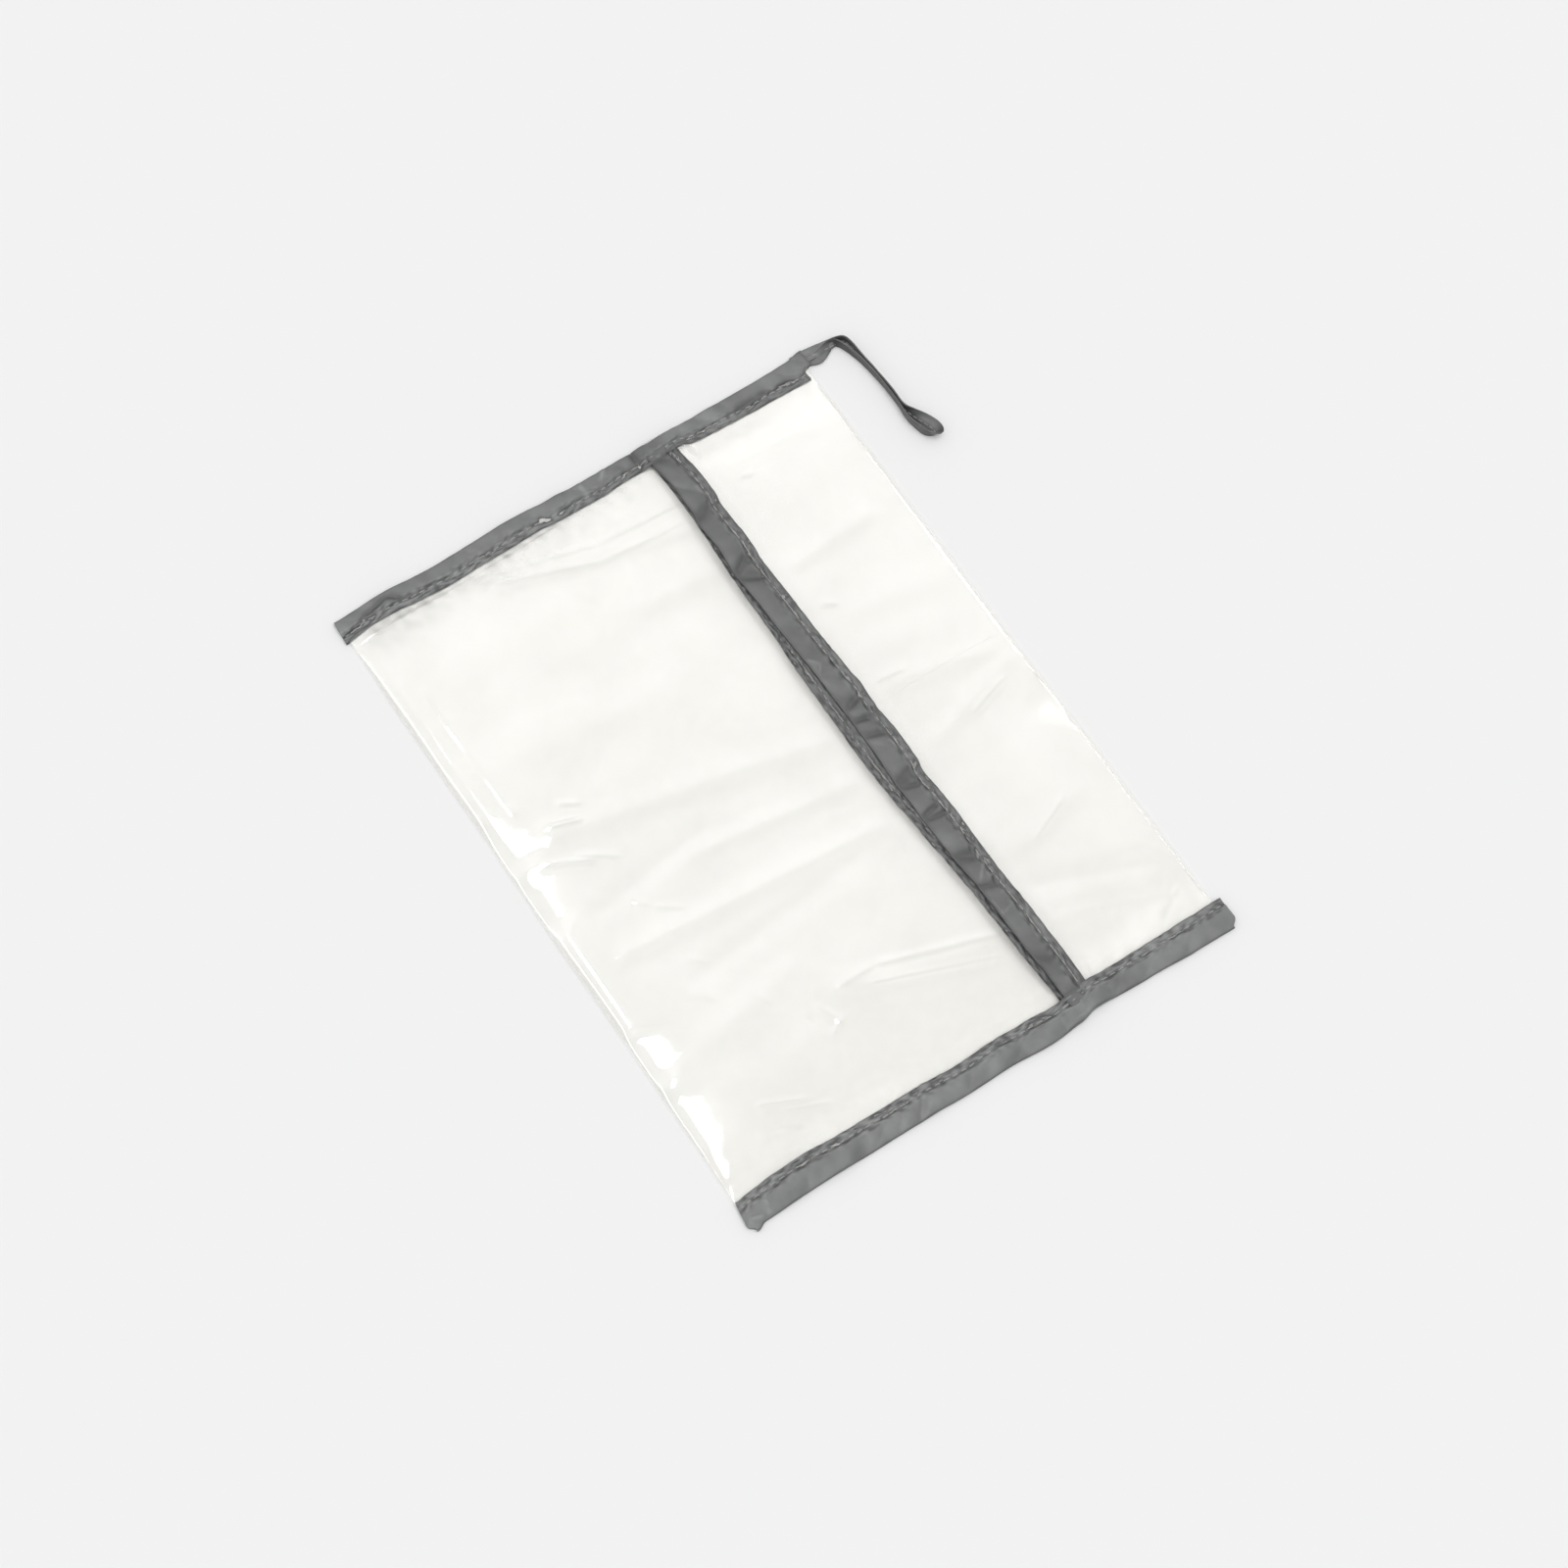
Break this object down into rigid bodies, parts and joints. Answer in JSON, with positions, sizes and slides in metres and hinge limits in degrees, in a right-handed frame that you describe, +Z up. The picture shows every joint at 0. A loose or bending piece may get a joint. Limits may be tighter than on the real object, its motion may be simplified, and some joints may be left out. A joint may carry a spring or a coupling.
{
  "type": "shoe bag",
  "caption": "Flat clear-film shoe bag with grey woven tape bound over both ends and both edges of its overlapping front mouth, and a narrow hanging loop at one corner.",
  "frame": {"origin": "centre of the underside of the back panel, on the surface that the bag lies on", "axes": "+X along the bag from the end with the hanging loop to the plain end, +Y across the bag towards the long fold beside the flap, +Z up out of the front"},
  "size_m": [0.351, 0.292, 0.0099],
  "materials": {
    "film": "clear, slightly milky film, glossy",
    "tape": "plain-woven grey tape with a soft sheen",
    "thread": "twisted sewing thread"
  },
  "bodies": {
    "bag": {"back_panel": "film", "front_panel": "film", "loop_end_binding": "tape", "plain_end_binding": "tape", "pocket_edge_binding": "tape", "loop_end_needle_thread": "thread", "loop_end_bobbin_thread": "thread", "plain_end_needle_thread": "thread", "plain_end_bobbin_thread": "thread", "pocket_edge_needle_thread": "thread", "pocket_edge_bobbin_thread": "thread"},
    "flap": {"flap_panel": "film", "flap_edge_binding": "tape", "flap_edge_needle_thread": "thread", "flap_edge_bobbin_thread": "thread"},
    "loop": {"hang_loop": "tape", "loop_thread": "thread"}
  },
  "joints": [
    {"name": "flap_lift", "type": "hinge", "parent": "bag", "child": "flap", "pos_m": [0, 0.12635, 0.0009], "axis": [-1, 0, 0], "range_deg": [0, 25]},
    {"name": "loop_swing", "type": "hinge", "parent": "bag", "child": "loop", "pos_m": [-0.1707, 0.13115, 0.002], "axis": [1, 0, 0], "range_deg": [0, 120]}
  ]
}
